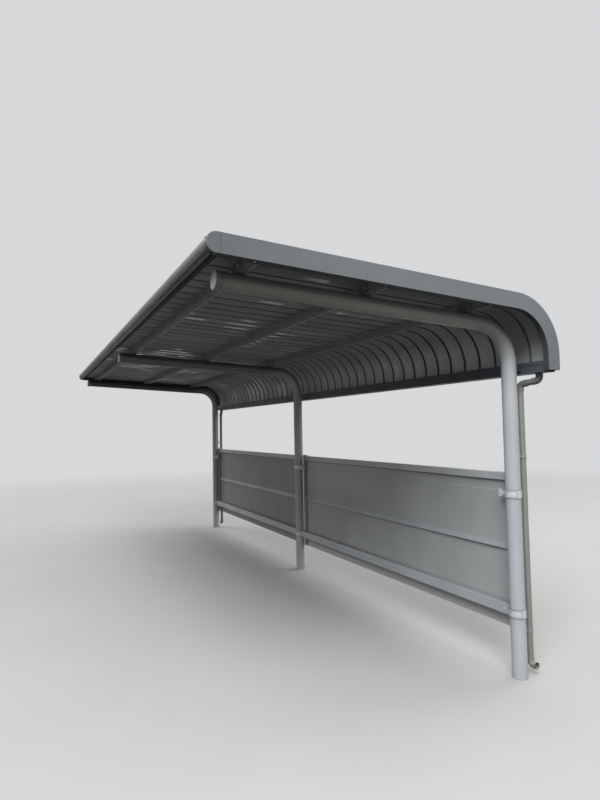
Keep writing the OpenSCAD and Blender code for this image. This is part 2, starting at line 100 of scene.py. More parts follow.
# Roof: under face and thickness of the sheets, rear curve, ribs from the right end
SHEET_BASE = PURLIN_BASE + PURLIN_H
SHEET_T = 0.002
ROOF_END = BAY + 0.215
ROOF_BACK = 0.131
ROOF_R = 0.285
CURVE_Y = ROOF_BACK - ROOF_R
CURVE_Z = ARM_H + (SHEET_BASE - ROOF_R - math.sin(PITCH) * CURVE_Y) / math.cos(PITCH)
RIB_PITCH = 0.1394
FIRST_RIB = 2.950
RIBS = 44

# Front edge and gable trims: middle and radius of the round nose, shelf behind it, flange
NOSE_Y = ARM_REACH + 0.061
NOSE_Z = SHEET_BASE + 0.005
NOSE_R = 0.046
SHELF = SHEET_BASE - 0.0025
TRIM_FLANGE = 0.037

# Back panels: sheets between stiles and rails, and the girt at their foot
SHEET_X = (0.080, BAY - 0.080)
UPPER_SHEET_Z = (0.756, 1.141)
LOWER_SHEET_Z = (0.252, 0.720)
GIRT_Z = 0.372
GIRT_SCREW_X = 0.094

# Downpipes and the undersides of their ring clips
DOWNPIPE_R = 0.019
DOWNPIPE_GAP = 0.027
DOWNPIPE_Y = PIPE_R + DOWNPIPE_GAP + DOWNPIPE_R
CLIP_Z = (1.277, 0.246)
CLIP_H = 0.020

# Tones, linear


def lin(*rgb):
    """8-bit sRGB as a linear colour."""
    return tuple(c / 3294.6 if c <= 10 else ((c / 255 + 0.055) / 1.055) ** 2.4 for c in rgb) + (1.0,)


def scale(colour, k):
    """A lighter or darker version of a colour."""
    return tuple(min(1.0, c * k) for c in colour[:3]) + (1.0,)


RUN_DARK = (0.045, 0.043, 0.040, 1.0)
RUN_PALE = (0.55, 0.54, 0.51, 1.0)
DUST = (0.34, 0.33, 0.30, 1.0)
MUD = (0.27, 0.235, 0.19, 1.0)
FLAKE = (0.75, 0.77, 0.80, 1.0)
# Painted shade inside the roof's rib grooves, and along their mouths
GROOVE_SHADE = (0.008, 0.008, 0.009, 1.0)
GROOVE_MOUTH_SHADE = (0.010, 0.010, 0.011, 1.0)
JOINT = (0.020, 0.020, 0.021, 1.0)
COLLAR_SHADE_LINE = (0.02, 0.02, 0.022, 1.0)
ZINC = (0.42, 0.42, 0.41, 1.0)
RUST = (0.16, 0.11, 0.07, 1.0)
RUBBER = (0.020, 0.020, 0.021, 1.0)
# Closure foam, black enough to stand also for the shade under the front edge
FOAM_AND_SHADE_BLACK = (0.008, 0.008, 0.010, 1.0)

# Materials


class Net:
    """A material and short calls for its nodes."""

    def __init__(self, name):
        self.mat = bpy.data.materials.new(name)
        self.mat.use_nodes = True
        self.tree = self.mat.node_tree
        self.bsdf = self.tree.nodes["Principled BSDF"]
        self.where = self.node("ShaderNodeTexCoord").outputs["Object"]
        normal = self.node("ShaderNodeSeparateXYZ")
        self.link(self.node("ShaderNodeNewGeometry").outputs["Normal"], normal.inputs[0])
        self.nx, self.ny, self.nz = normal.outputs
        place = self.node("ShaderNodeSeparateXYZ")
        self.link(self.where, place.inputs[0])
        self.x, self.y, self.z = place.outputs

    def node(self, kind, **values):
        n = self.tree.nodes.new(kind)
        for key, value in values.items():
            setattr(n, key, value)
        return n

    def link(self, a, b):
        self.tree.links.new(a, b)

    def put(self, socket, value):
        """A number or colour is set on the socket, and an output is linked to it."""
        if isinstance(value, (int, float, tuple)):
            socket.default_value = value
        else:
            self.link(value, socket)

    def shader(self, **values):
        """Inputs of the surface shader, with _ for a space in their names."""
        for key, value in values.items():
            self.put(self.bsdf.inputs[key.replace("_", " ")], value)

    def scaled(self, sx, sy, sz):
        """Object place, stretched for a noise."""
        m = self.node("ShaderNodeMapping")
        self.link(self.where, m.inputs["Vector"])
        m.inputs["Scale"].default_value = (sx, sy, sz)
        return m.outputs[0]

    def noise(self, scale, detail=3.0, rough=0.55, vector=None):
        n = self.node("ShaderNodeTexNoise")
        self.link(vector or self.where, n.inputs["Vector"])
        n.inputs["Scale"].default_value = scale
        n.inputs["Detail"].default_value = detail
        n.inputs["Roughness"].default_value = rough
        return n.outputs[0]

    def span(self, value, a, b, lo=0.0, hi=1.0):
        """value from a..b to lo..hi, clamped, with soft ends."""
        n = self.node("ShaderNodeMapRange", interpolation_type="SMOOTHSTEP")
        self.put(n.inputs["Value"], value)
        for key, v in (("From Min", a), ("From Max", b), ("To Min", lo), ("To Max", hi)):
            n.inputs[key].default_value = v
        return n.outputs[0]

    def mix(self, fac, a, b):
        """Colour a where fac is 0 and b where it is 1."""
        n = self.node("ShaderNodeMix", data_type="RGBA")
        self.put(n.inputs[0], fac)
        self.put(n.inputs[6], a)
        self.put(n.inputs[7], b)
        return n.outputs[2]

    def calc(self, op, a, b=0.0):
        n = self.node("ShaderNodeMath", operation=op)
        self.put(n.inputs[0], a)
        self.put(n.inputs[1], b)
        return n.outputs[0]

    def add(self, a, b):
        return self.calc("ADD", a, b)

    def sub(self, a, b):
        return self.calc("SUBTRACT", a, b)

    def mul(self, a, b):
        return self.calc("MULTIPLY", a, b)

    def div(self, a, b):
        return self.calc("DIVIDE", a, b)

    def above(self, a, b):
        """1 where a is more than b, else 0."""
        return self.calc("GREATER_THAN", a, b)

    def apart(self, a, b):
        """How far apart two numbers are."""
        return self.calc("ABSOLUTE", self.sub(a, b))

    def dot(self, a, b, p, q):
        return self.add(self.mul(a, p), self.mul(b, q))

    def length(self, a, b):
        return self.calc("POWER", self.dot(a, b, a, b), 0.5)

    def pick(self, which, a, b):
        """a where which is 0 and b where it is 1."""
        return self.add(a, self.mul(which, self.sub(b, a)))

    def bump(self, height, distance, strength=1.0, after=None):
        n = self.node("ShaderNodeBump")
        n.inputs["Strength"].default_value = strength
        n.inputs["Distance"].default_value = distance
        self.put(n.inputs["Height"], height)
        if after is not None:
            self.link(after, n.inputs["Normal"])
        return n.outputs[0]

    def slope(self):
        """Distance along the slope towards the front, and height above the arm axis."""
        rise = self.sub(self.z, ARM_H)
        along = self.sub(self.mul(rise, math.sin(PITCH)), self.mul(self.y, math.cos(PITCH)))
        height = self.dot(rise, self.y, math.cos(PITCH), math.sin(PITCH))
        return along, height

    def roof(self):
        """Height above the under face of the sheets, and how far a face looks out of the roof."""
        dy = self.sub(self.y, CURVE_Y)
        dz = self.sub(self.z, CURVE_Z)
        r = self.length(dy, dz)
        out_curve = self.div(self.dot(self.ny, self.nz, dy, dz), r)
        out_flat = self.dot(self.ny, self.nz, math.sin(PITCH), math.cos(PITCH))
        before_curve = self.above(self.y, CURVE_Y)
        flat = self.sub(self.slope()[1], SHEET_BASE)
        return (self.pick(before_curve, flat, self.sub(r, ROOF_R)),
                self.pick(before_curve, out_flat, out_curve))


# Noise scales of the run-off streaks and of the slow waves, by the way that the streaks run
RUN_SCALE = {"x": (0.9, 34, 34), "y": (34, 0.9, 3.0), "z": (34, 34, 0.9)}
WAVE_SCALE = {"x": (3.2, 3.2, 3.2), "y": (5.0, 1.6, 5.0), "z": (3.2, 3.2, 3.2)}


def run_off(n, tone, along, streak):
    """Dark streaks that run off along one axis, and wider pale ones over them."""
    stretch = RUN_SCALE[along]
    dark = n.noise(1.0, 5.0, 0.62, n.scaled(*stretch))
    tone = n.mix(n.span(dark, 0.52, 0.78, 0.0, streak), tone, RUN_DARK)
    pale = n.noise(1.0, 4.0, 0.6, n.scaled(*(s * 0.55 for s in stretch)))
    return n.mix(n.span(pale, 0.60, 0.85, 0.0, streak * 0.8), tone, RUN_PALE)


def top_dust(n, tone, dust):
    """Dust in patches on faces that look up."""
    top = n.mul(n.span(n.nz, 0.45, 0.95), n.span(n.noise(7.0, 6.0, 0.65), 0.30, 0.75))
    return n.mix(n.mul(top, dust), tone, DUST)


def ground_splash(n, tone, splash):
    """Specks of mud up to some 10 cm above the ground."""
    reach = n.add(n.z, n.mul(n.noise(26.0, 5.0, 0.7), -0.10))
    foot = n.mul(n.span(reach, 0.05, -0.06), n.span(n.noise(90.0, 3.0), 0.30, 0.62))
    return n.mix(n.mul(foot, splash), tone, MUD)


def paint(name, colour, rough=0.42, metal=0.0, streak=0.10, dust=0.35, splash=0.0, peel=0.25,
          waves=0.0, along="z", speck=0.0, spec=0.25, special=None):
    """Coated metal or plastic: tone drift, run-off streaks, dust on top faces, splash near the
    ground, bright flakes, orange peel and, on thin sheet, slow waves. special changes tone,
    normal and gloss."""
    n = Net(name)
    drift = n.span(n.noise(1.7, 4.0), 0.3, 0.7)
    tone = n.mix(drift, scale(colour, 0.92), scale(colour, 1.06))
    tone = run_off(n, tone, along, streak)
    tone = top_dust(n, tone, dust)
    if splash > 0:
        tone = ground_splash(n, tone, splash)
    if speck > 0:
        tone = n.mix(n.span(n.noise(1500.0, 1.0), 0.62, 0.74, 0.0, speck), tone, FLAKE)
    normal = n.bump(n.noise(420.0, 2.0), 0.0004, peel)
    gloss = n.span(n.noise(5.5, 5.0, 0.6), 0.25, 0.75, rough - 0.06, rough + 0.10)
    if special is not None:
        tone, normal, gloss = special(n, tone, normal, gloss)
    if waves > 0:
        slow = n.noise(1.0, 2.0, 0.4, n.scaled(*WAVE_SCALE[along]))
        normal = n.bump(slow, 0.010, waves, normal)
    n.shader(Base_Color=tone, Roughness=gloss, Metallic=metal, Specular_IOR_Level=spec, Normal=normal)
    return n.mat


# What each coat has of its own


def by_pan(n, pan, step, run=None):
    """A place for a noise that jumps from pan to pan and, with run, goes on along the pan."""
    place = n.node("ShaderNodeCombineXYZ")
    n.put(place.inputs[0], n.mul(pan, step))
    if run is not None:
        n.put(place.inputs[1], n.mul(n.y, run))
    return place.outputs[0]


def inside_curve(n, ends):
    """The sheets' under face in the rear curve, in painted light: pale low down, with painted
    shade above and near the ends.
    """
    runs = n.noise(1.0, 4.0, 0.6, n.scaled(60, 1.5, 1.5))
    # Painted light: the curve much paler than the flat under face
    tone = n.mix(n.span(runs, 0.30, 0.75), lin(206, 209, 209), lin(220, 223, 223))
    # Painted shade higher up the curve
    tone = n.mix(n.span(n.z, CURVE_Z + 0.08, CURVE_Z + 0.22), tone, lin(160, 161, 158))
    # Painted shade near the ends
    return n.mix(n.mul(ends, 0.72), tone, lin(124, 130, 132))


def roof_under(n, tone, normal, gloss):
    """Sheets: an under face of its own tone, painted light in the curve, painted shade in the grooves
    and along their mouths, and crowned pans with short glossy stretches side by side that also
    carry a painted pale reflection. Some pans are paler than the rest."""
    depth, out = n.roof()
    inner = n.span(out, 0.03, -0.03)
    ends = n.span(n.calc("ABSOLUTE", n.x), BAY - 0.35, BAY + 0.05)
    shade = n.mix(n.span(n.noise(1.3, 3.0), 0.3, 0.7), lin(118, 118, 115), lin(134, 133, 129))
    # Painted light and shade of the rear curve on the under face
    shade = n.mix(n.span(n.y, CURVE_Y - 0.03, CURVE_Y + 0.10), shade, inside_curve(n, ends))

    across = n.div(n.sub(n.x, FIRST_RIB), RIB_PITCH)
    pan = n.calc("FLOOR", across)
    in_pan = n.sub(across, pan)
    marks = n.noise(1.0, 1.5, 0.5, by_pan(n, pan, 0.24, 2.6))
    stripe = n.span(n.apart(in_pan, 0.40), 0.20, 0.10)
    stretch = n.mul(n.span(marks, 0.565, 0.590), stripe)
    # Painted pale reflection on the glossy stretches, beside their real lower roughness
    shade = n.mix(n.mul(stretch, 0.35), shade, lin(176, 174, 168))

    # Painted shade on the pans along each groove's mouth, and inside the grooves
    from_rib = n.mul(n.sub(0.5, n.apart(in_pan, 0.5)), RIB_PITCH)
    mouth_shade = n.mul(n.span(from_rib, 0.0125, 0.0085), n.pick(ends, 0.85, 0.15))
    shade = n.mix(mouth_shade, shade, GROOVE_MOUTH_SHADE)
    shade = n.mix(n.span(depth, 0.002, 0.010, 0.0, 0.9), shade, GROOVE_SHADE)

    tone = n.mix(inner, tone, shade)
    under_gloss = n.pick(stretch, 0.66, 0.20)
    gloss = n.pick(inner, gloss, under_gloss)
    paler_pan = n.span(n.noise(1.0, 0.0, 0.5, by_pan(n, pan, 0.73)), 0.42, 0.58, 0.0, 0.16)
    tone = n.mix(n.mul(inner, paler_pan), tone, lin(214, 216, 214))
    crown = n.calc("ABSOLUTE", n.calc("SINE", n.mul(across, math.pi)))
    return tone, n.bump(crown, 0.0010, 0.6, normal), gloss


def nose_seam(n, tone, normal, gloss):
    """Trims: a fine joint across the face behind the round nose, painted shade growing towards the
    front, and painted shade on the inner faces."""
    along = n.slope()[0]
    line = n.span(n.apart(along, NOSE_Y - 0.017), 0.0012, 0.0003)
    # Painted shade, growing towards the front
    tone = n.mix(n.span(along, 1.0, 2.0, 0.0, 0.30), tone, lin(62, 64, 66))
    # Painted shade on faces that look into the roof
    inward_shade = n.span(n.roof()[1], -0.45, -0.60)
    tone = n.mix(inward_shade, tone, lin(72, 75, 78))
    tone = n.mix(n.mul(line, 0.4), tone, JOINT)
    return tone, n.bump(n.mul(line, -1.0), 0.0012, 1.0, normal), gloss


# Front edge: turns round the middle of the nose, 0 in front, less below, of a painted shade
# line and of a painted highlight on the lip
SHADE_LINE_TURN = math.radians(-47)
LIP_TURN = math.radians(-62)


def nose_lip(n, tone, normal, gloss):
    """Front edge: a painted shade line under the nose, then a thin painted highlight on the lip,
    and a lower face with painted light to the left and painted shade towards the right."""
    along, height = n.slope()
    turn = n.calc("ARCTAN2", n.sub(height, NOSE_Z), n.sub(along, NOSE_Y))
    below = n.span(turn, math.radians(-48), math.radians(-55))
    right = n.span(n.x, 1.5, 2.1)
    # Painted light on the lower face, away from the right end
    painted_light_left = n.mul(n.sub(1.0, right), 0.7)
    tone = n.mix(n.mul(below, painted_light_left), tone, lin(168, 169, 166))
    # Painted shade on the lower face towards the right end
    painted_shade_right = n.mul(right, 0.75)
    tone = n.mix(n.mul(below, painted_shade_right), tone, lin(44, 45, 46))
    # Painted highlight along the lip
    lip = n.span(n.apart(turn, LIP_TURN), 0.11, 0.06, 0.0, 0.55)
    tone = n.mix(lip, tone, lin(158, 160, 160))
    # Painted shade line under the nose
    shade_line = n.span(n.apart(turn, SHADE_LINE_TURN), 0.12, 0.06, 0.0, 0.80)
    return n.mix(shade_line, tone, lin(30, 31, 32)), normal, gloss


def cap_rim(n, tone, normal, gloss):
    """Caps: a bluish collar behind the pale end, and a painted shade line where the collar meets the
    pipe.
    """
    along = n.slope()[0]
    collar = n.span(along, ARM_REACH + 0.0045, ARM_REACH + 0.0030)
    tone = n.mix(collar, tone, lin(136, 140, 148))
    # Painted shade line where the collar meets the pipe
    line = n.span(along, ARM_REACH - 0.0245, ARM_REACH - 0.0265)
    return n.mix(n.mul(line, 0.6), tone, COLLAR_SHADE_LINE), normal, gloss


def frame_tones(n, tone, normal, gloss):
    """Frames: painted shade towards the left and up the bend, on the arms towards the tip and more
    on the arms to the left, painted light on the posts at the foot, the gutter's tone on the lug,
    and painted shadow lines above and below the band clamps."""
    # Painted shade towards the left
    left = n.span(n.x, 2.2, 0.4, 0.0, 0.60)
    tone = n.mix(left, tone, lin(152, 152, 143))
    # Painted shade up the bend
    bend = n.span(n.z, 1.78, 2.04)
    tone = n.mix(bend, tone, lin(164, 164, 159))
    # Painted shade on the arms towards the tip
    arm_tip_shade = n.mul(n.span(n.y, -0.60, -1.80), n.span(n.x, 2.5, -2.9, 0.8, 1.0))
    tone = n.mix(arm_tip_shade, tone, lin(138, 138, 133))
    # Painted shade, deeper on the arms to the left
    left_steps = n.add(n.span(n.x, 1.6, 0.2, 0.0, 0.50), n.span(n.x, -1.6, -2.6, 0.0, 0.42))
    left_arm_shade = n.mul(n.span(n.y, -0.10, -0.40), left_steps)
    tone = n.mix(left_arm_shade, tone, lin(84, 84, 81))
    # Painted light on the posts at the foot
    foot = n.span(n.z, 0.60, 0.15, 0.0, 0.55)
    tone = n.mix(foot, tone, lin(205, 210, 216))
    lug = n.mul(n.span(n.y, PIPE_R + 0.0005, PIPE_R + 0.0015), n.above(n.z, 1.5))
    tone = n.mix(lug, tone, lin(70, 74, 78))
    # Painted shadow lines just above and below each band clamp
    for middle in (CLAMP_Z, GIRT_Z):
        off = n.sub(n.apart(n.z, middle), CLAMP_H / 2)
        tone = n.mix(n.span(off, 0.0036, 0.0016, 0.0, 0.40), tone, lin(66, 68, 70))
    return tone, normal, gloss


def under_gutter(n, tone, normal, gloss):
    """Downpipes: painted shade on the elbows under the gutter."""
    # Painted shade under the gutter
    return n.mix(n.span(n.z, 1.64, 1.74), tone, lin(108, 108, 105)), normal, gloss


def gutter_front(n, tone, normal, gloss):
    """Gutter: painted light, growing away from the right end."""
    # Painted light away from the right end
    return n.mix(n.span(n.x, 2.8, -0.4, 0.0, 0.80), tone, lin(124, 126, 124)), normal, gloss


def girt_top(n, tone, normal, gloss):
    """Girts: painted shade on the upper flange, darker than the front."""
    # Painted shade on faces that look up
    return n.mix(n.span(n.nz, 0.4, 0.8, 0.0, 0.9), tone, lin(140, 143, 145)), normal, gloss


def purlin_faces(n, tone, normal, gloss):
    """Purlins: painted shade on the lower flange, but for the strip along its rear edge."""
    along = n.sub(n.slope()[0], PURLINS[0])
    nearest = n.calc("ROUND", n.div(along, PURLIN_STEP))
    local = n.sub(along, n.mul(nearest, PURLIN_STEP))
    # Painted shade on the lower flange
    dark = n.mul(n.span(local, -0.010, -0.005), n.span(n.nz, -0.85, -0.95))
    return n.mix(n.mul(dark, 0.85), tone, lin(102, 102, 99)), normal, gloss


def bay_tone(n, tone, normal, gloss):
    """Panel sheets: painted light above near the middle of the right bay, and painted shade on the
    left bay.
    """
    # Painted light above near the middle of the right bay
    high = n.mul(n.span(n.z, 0.78, 0.98), n.span(n.x, 1.9, 0.9, 0.0, 0.55))
    tone = n.mix(high, tone, lin(206, 210, 212))
    # Painted shade on the left bay
    return n.mix(n.span(n.x, 0.05, -0.05, 0.0, 0.80), tone, lin(135, 137, 133)), normal, gloss


def skirt(n, tone, normal, gloss):
    """Lower sheets: painted light on the front under the girt."""
    # Painted light on the front below the girt
    below = n.mul(n.span(n.z, GIRT_Z, GIRT_Z - 0.03), n.span(n.ny, 0.2, -0.2))
    return bay_tone(n, n.mix(below, tone, lin(196, 199, 202)), normal, gloss)


# Pressed field of the band clamps: its middle and half width as turns round the post, its half
# height, and the turn of the bead in it
FIELD_TURN = math.radians(-60)
FIELD_HALF_TURN = math.radians(40)
FIELD_HALF_H = 0.018
BEAD_TURN = math.radians(-45)


def clamp_lines(n, tone, normal, gloss):
    """Band clamps: painted shade along the edges of the pressed field and on the rims of the band,
    and a painted highlight on the bead in the field."""
    post = n.mul(n.calc("ROUND", n.div(n.x, BAY)), BAY)
    turn = n.calc("ARCTAN2", n.y, n.sub(n.x, post))
    middle = n.pick(n.above(n.z, (GIRT_Z + CLAMP_Z) / 2), GIRT_Z, CLAMP_Z)
    up = n.apart(n.z, middle)
    past_ends = n.mul(n.sub(n.apart(turn, FIELD_TURN), FIELD_HALF_TURN), BAND_R)
    outside = n.calc("MAXIMUM", n.sub(up, FIELD_HALF_H), past_ends)
    # Painted shade along the edges of the pressed field
    edge = n.span(n.apart(outside, 0.0006), 0.0026, 0.0014)
    on_band = n.span(n.apart(n.x, post), BAND_R + 0.002, BAND_R)
    tone = n.mix(n.mul(n.mul(edge, on_band), 0.60), tone, lin(70, 72, 76))
    # Painted shade on the rims of the band
    rim = n.mul(n.span(up, 0.0228, 0.0240), on_band)
    tone = n.mix(n.mul(rim, 0.7), tone, lin(58, 60, 64))
    # Painted highlight on the bead
    beside = n.span(n.apart(turn, BEAD_TURN), math.radians(13), math.radians(10))
    bead = n.mul(beside, n.span(up, 0.0040, 0.0028))
    return n.mix(n.mul(bead, 0.8), tone, lin(226, 228, 230)), normal, gloss


def metal(name, colour, rough, stain):
    """Bare zinc or stainless: spangle tone, brushed bump and brown stain in patches."""
    n = Net(name)
    grain = n.noise(160.0, 3.0, 0.6)
    tone = n.mix(n.span(grain, 0.3, 0.7), scale(colour, 0.78), colour)
    tone = n.mix(n.span(n.noise(45.0, 4.0), 0.55, 0.8, 0.0, stain), tone, RUST)
    gloss = n.span(grain, 0.25, 0.75, rough - 0.07, rough + 0.13)
    normal = n.bump(n.noise(700.0, 2.0), 0.0003, 0.35)
    n.shader(Base_Color=tone, Metallic=0.85, Roughness=gloss, Normal=normal)
    return n.mat


def rubber(name, colour):
    """Dull rubber or foam with a slightly uneven tone."""
    n = Net(name)
    tone = n.mix(n.span(n.noise(60.0, 3.0), 0.3, 0.7), colour, scale(colour, 1.7))
    normal = n.bump(n.noise(900.0, 2.0), 0.0003, 0.4)
    n.shader(Base_Color=tone, Roughness=0.75, Specular_IOR_Level=0.15, Normal=normal)
    return n.mat


MATERIALS = {
    "frame": paint("frame_coat", lin(190, 196, 202), metal=0.10, streak=0.07, splash=0.30,
                   peel=0.35, speck=0.10, special=frame_tones),
    "cap": paint("cap_plastic", lin(196, 198, 198), rough=0.50, streak=0.06, peel=0.15,
                 special=cap_rim),
    "purlin": paint("purlin_coat", lin(158, 160, 160), rough=0.60, streak=0.08, along="x",
                    spec=0.12, special=purlin_faces),
    "cleat": paint("cleat_coat", lin(130, 133, 136), rough=0.50, streak=0.08, spec=0.2),
    "sheet": paint("roof_sheet_coat", lin(124, 129, 134), rough=0.32, streak=0.16, dust=0.40,
                   peel=0.03, waves=0.16, along="y", special=roof_under),
    "edge": paint("front_edge_coat", lin(118, 120, 120), rough=0.58, streak=0.40, dust=0.18,
                  waves=0.15, along="y", spec=0.14, special=nose_lip),
    "trim": paint("gable_trim_coat", lin(125, 130, 134), rough=0.52, metal=0.05, streak=0.08,
                  waves=0.12, spec=0.12, special=nose_seam),
    "gutter": paint("gutter_coat", lin(84, 89, 95), rough=0.55, streak=0.12, along="x",
                    spec=0.15, special=gutter_front),
    "pipe": paint("downpipe_plastic", lin(146, 146, 141), rough=0.50, streak=0.12, splash=0.4,
                  peel=0.1, special=under_gutter),
    "top_rail": paint("top_rail_coat", lin(187, 191, 194), metal=0.08, streak=0.08, along="x"),
    "rail": paint("rail_coat", lin(166, 170, 174), metal=0.08, streak=0.08, along="x"),
    "panel": paint("panel_coat", lin(176, 180, 182), rough=0.40, waves=0.22, spec=0.14,
                   special=bay_tone),
    "skirt": paint("lower_panel_coat", lin(176, 180, 182), rough=0.40, waves=0.22, spec=0.14,
                   special=skirt),
    "girt": paint("girt_coat", lin(187, 191, 195), metal=0.08, streak=0.08, along="x",
                  special=girt_top),
    "clamp": paint("clamp_coat", lin(218, 222, 226), rough=0.40, metal=0.10, streak=0.05,
                   special=clamp_lines),
    "clip": metal("clip_steel", ZINC, 0.45, 0.15),
    "bolt": metal("bolt_zinc", ZINC, 0.40, 0.30),
    "rubber": rubber("washer_rubber", RUBBER),
    "foam": rubber("closure_foam_and_shade", FOAM_AND_SHADE_BLACK),
}

# How a node's name starts, and its material: the first that fits counts
NODE_MATERIALS = (
    ("frame_", "frame"), ("arm_cap", "cap"), ("purlin_cleats", "cleat"), ("purlin", "purlin"),
    ("roof_sheet", "sheet"), ("front_edge", "edge"), ("gable_trim", "trim"), ("gutter", "gutter"),
    ("drain_elbows", "pipe"), ("downpipe", "pipe"), ("pipe_clips", "clip"), ("top_rail", "top_rail"),
    ("mid_rail", "rail"), ("panel_stiles", "rail"), ("upper_sheet", "panel"), ("lower_sheet", "skirt"),
    ("girt", "girt"), ("band_clamps", "clamp"),
)


def dress(name, node):
    """Gives a CAD node its material."""
    mat = MATERIALS[next(key for start, key in NODE_MATERIALS if name.startswith(start))]
    if not node.material_slots:
        node.data.materials.append(mat)
    for slot in node.material_slots:
        slot.material = mat


for name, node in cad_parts.items():
    dress(name, node)

# Shapes of small pieces

ON_AXIS = 1e-7


def revolve(bm, profile, where, sides=24):
    """A closed turned shape from (radius, height) pairs that start and end on the axis."""
    rings = []
    for r, z in profile:
        if r < ON_AXIS:
            rings.append([bm.verts.new(where @ Vector((0, 0, z)))])
        else:
            turns = [2 * math.pi * i / sides for i in range(sides)]
            rings.append([bm.verts.new(where @ Vector((r * math.cos(t), r * math.sin(t), z)))
                          for t in turns])
    for a, b in zip(rings, rings[1:]):
        for i in range(sides):
            j = (i + 1) % sides
            if len(a) == 1 and len(b) > 1:
                bm.faces.new((a[0], b[j], b[i]))
            elif len(b) == 1 and len(a) > 1:
                bm.faces.new((a[i], a[j], b[0]))
            elif len(a) > 1 and len(b) > 1:
                bm.faces.new((a[i], a[j], b[j], b[i]))


def washer(r, t):
    """Profile of a washer with eased rims, without its hole, which a head covers."""
    e = t * 0.3
    return [(0, 0), (r - e, 0), (r, e), (r, t - e), (r - e, t), (0, t)]


def hex_head(flats, h):
    """Profile of a six-sided head: used with six sides, chamfered at the top."""
    r = flats / math.sqrt(3)
    return [(0, 0), (r, 0), (r, h * 0.80), (r * 0.90, h), (0, h)]


def pan_head(r, h):
    """Profile of a domed head with a round recess."""
    return [(0, 0), (r, 0), (r, h * 0.25), (r * 0.90, h * 0.62), (r * 0.62, h * 0.90), (0.28 * r, h),
            (0.20 * r, h * 0.55), (0, h * 0.55)]


def pose(point, axis, spin=0.0):
    """Matrix that puts +Z along axis at point."""
    q = Vector(axis).normalized().to_track_quat("Z", "Y")
    return Matrix.Translation(point) @ q.to_matrix().to_4x4() @ Matrix.Rotation(spin, 4, "Z")


def on_slope(x, along, height):
    """A point from its distance along the slope and its height above the arm axis."""
    return SLOPE @ Vector((x, -along, height))


def slope_dir(x, y, z):
    return SLOPE.to_3x3() @ Vector((x, y, z))


def finish_piece(name, bm, coat):
    """Makes an object of the shape, smooth but for its corners, on the shelter's one body."""
    bmesh.ops.recalc_face_normals(bm, faces=bm.faces)
    mesh = bpy.data.meshes.new(name)
    bm.to_mesh(mesh)
    bm.free()
    mesh.materials.append(MATERIALS[coat])
    obj = bpy.data.objects.new(name, mesh)
    bpy.context.scene.collection.objects.link(obj)
    for p in mesh.polygons:
        p.use_smooth = True
    mesh.set_sharp_from_angle(angle=math.radians(32))
    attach(obj, "root")


# Screws and bolts

# How deep a head or washer sits in what is under it
BED = 0.0001


def clamp_screws():
    """Painted heads on the end plates of the upper ears, and through the girt at its ends."""
    heads = bmesh.new()
    for post in POSTS:
        for side in (-1, 1):
            if abs(post + side * EAR_X) < BAY:
                for dx, z in ((EAR_X, CLAMP_Z), (GIRT_SCREW_X, GIRT_Z)):
                    spot = (post + side * dx, EAR_FRONT_Y, z)
                    revolve(heads, pan_head(r=0.0058, h=0.0034), pose(spot, (0, -1, 0)))
    finish_piece("clamp_screws", heads, "clamp")


# Bolts of a purlin cleat: size, washer, and places across the arm and above the purlin's base
BOLT_D = 0.006
BOLT_WASHER_T = 0.0018
CLEAT_BOLTS = ((-0.048, 0.022), (0.040, 0.026))


def bolt(bm, point, axis, spin):
    """A hex head or nut on a washer."""
    revolve(bm, washer(BOLT_D * 2.1 / 2, BOLT_WASHER_T), pose(point, axis), 28)
    up = Vector(axis).normalized() * (BOLT_WASHER_T - BED)
    revolve(bm, hex_head(BOLT_D * 1.7, BOLT_D * 0.64), pose(Vector(point) + up, axis, spin), 6)


def cleat_bolts():
    """Two bolts through each purlin cleat, their nuts inside the purlin, each turned its own way."""
    bolts = bmesh.new()
    for post in POSTS:
        for p in PURLINS:
            web = p + PURLIN_W / 2
            for dx, dz in CLEAT_BOLTS:
                front = on_slope(post + dx, web + PLATE_T, PURLIN_BASE + dz)
                back = on_slope(post + dx, web - PURLIN_T, PURLIN_BASE + dz)
                bolt(bolts, front, slope_dir(0, -1, 0), dx * 30)
                bolt(bolts, back, slope_dir(0, 1, 0), dx * 50)
    finish_piece("cleat_bolts", bolts, "bolt")


# Roof screws: radius and thickness of the rubber seal and of the steel washer
ROOF_SEAL_R = 0.0082
ROOF_SEAL_T = 0.0022
ROOF_WASHER_R = 0.0070
ROOF_WASHER_T = 0.0014


def roof_screws():
    """A screw in each pan over each purlin, a few millimetres off its middle, on a steel washer
    and a rubber seal."""
    heads, seals = bmesh.new(), bmesh.new()
    out = slope_dir(0, 0, 1)
    washer_up = out * (ROOF_SEAL_T - BED)
    head_up = washer_up + out * (ROOF_WASHER_T - BED)
    for p in PURLINS:
        for i in range(RIBS):
            x = FIRST_RIB - (i - 0.5) * RIB_PITCH + (0.004 if i % 3 else -0.003)
            spot = on_slope(x, p - 0.002 * math.sin(i * 2.3), SHEET_BASE + SHEET_T)
            revolve(seals, washer(ROOF_SEAL_R, ROOF_SEAL_T), pose(spot, out), 20)
            revolve(heads, washer(ROOF_WASHER_R, ROOF_WASHER_T), pose(spot + washer_up, out), 20)
            revolve(heads, hex_head(flats=0.008, h=0.0042), pose(spot + head_up, out, i * 1.7), 6)
    finish_piece("roof_screws", heads, "bolt")
    finish_piece("roof_screw_seals", seals, "rubber")


# Gable trims: screws from the edge of the flange, and black heads by their turn up from the
# front of the nose and their height
TRIM_SCREW_IN = 0.008
NOSE_HEADS = ((math.radians(24), 0.0030), (math.radians(-70), 0.0018))


